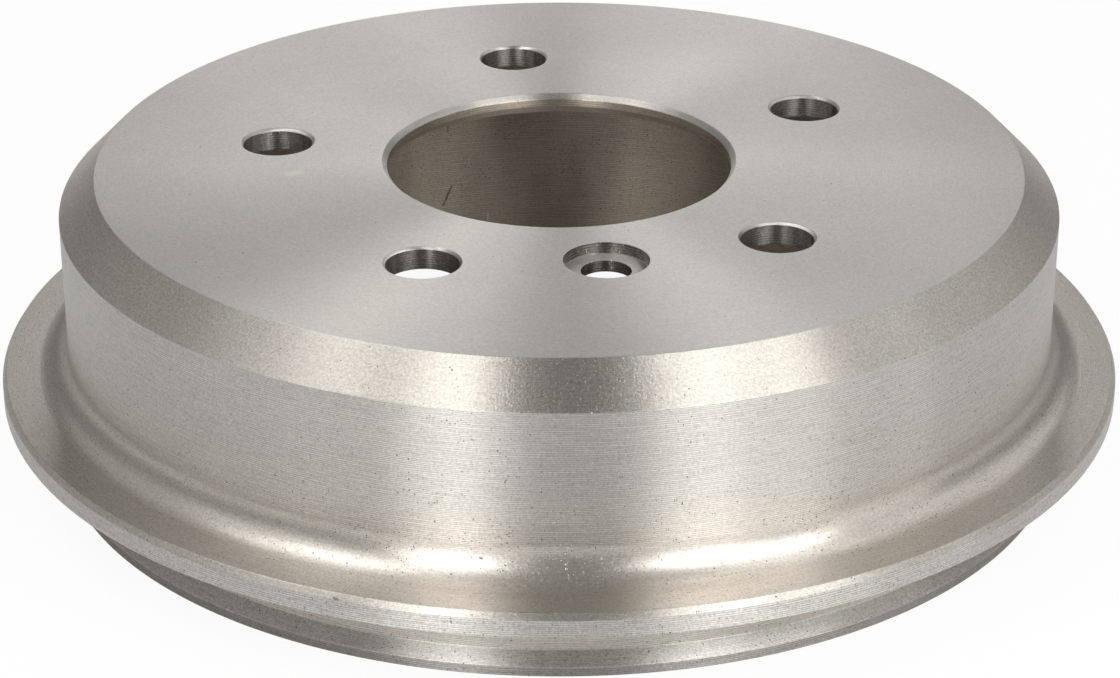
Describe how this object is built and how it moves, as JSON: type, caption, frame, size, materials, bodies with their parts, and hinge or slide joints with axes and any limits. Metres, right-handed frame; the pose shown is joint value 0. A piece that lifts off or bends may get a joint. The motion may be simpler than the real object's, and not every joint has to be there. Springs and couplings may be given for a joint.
{
  "type": "brake drum",
  "caption": "Brake drum turned from cast iron: a short cup with a flat web, a wide pilot bore, a circle of stud holes, a rim round the wall and a flared lip at the open end.",
  "frame": {"origin": "centre of the open end, on the axle line, in the plane that the drum stands on", "axes": "+Z along the axle line, from the open end to the face that meets the wheel; -Y through the hole for the retaining screw"},
  "size_m": [0.22, 0.22, 0.0572],
  "materials": {
    "machined_iron": "finely turned, bare and dry, with small dark graphite pores"
  },
  "bodies": {
    "root": {"brake_drum": "machined_iron"}
  },
  "joints": []
}
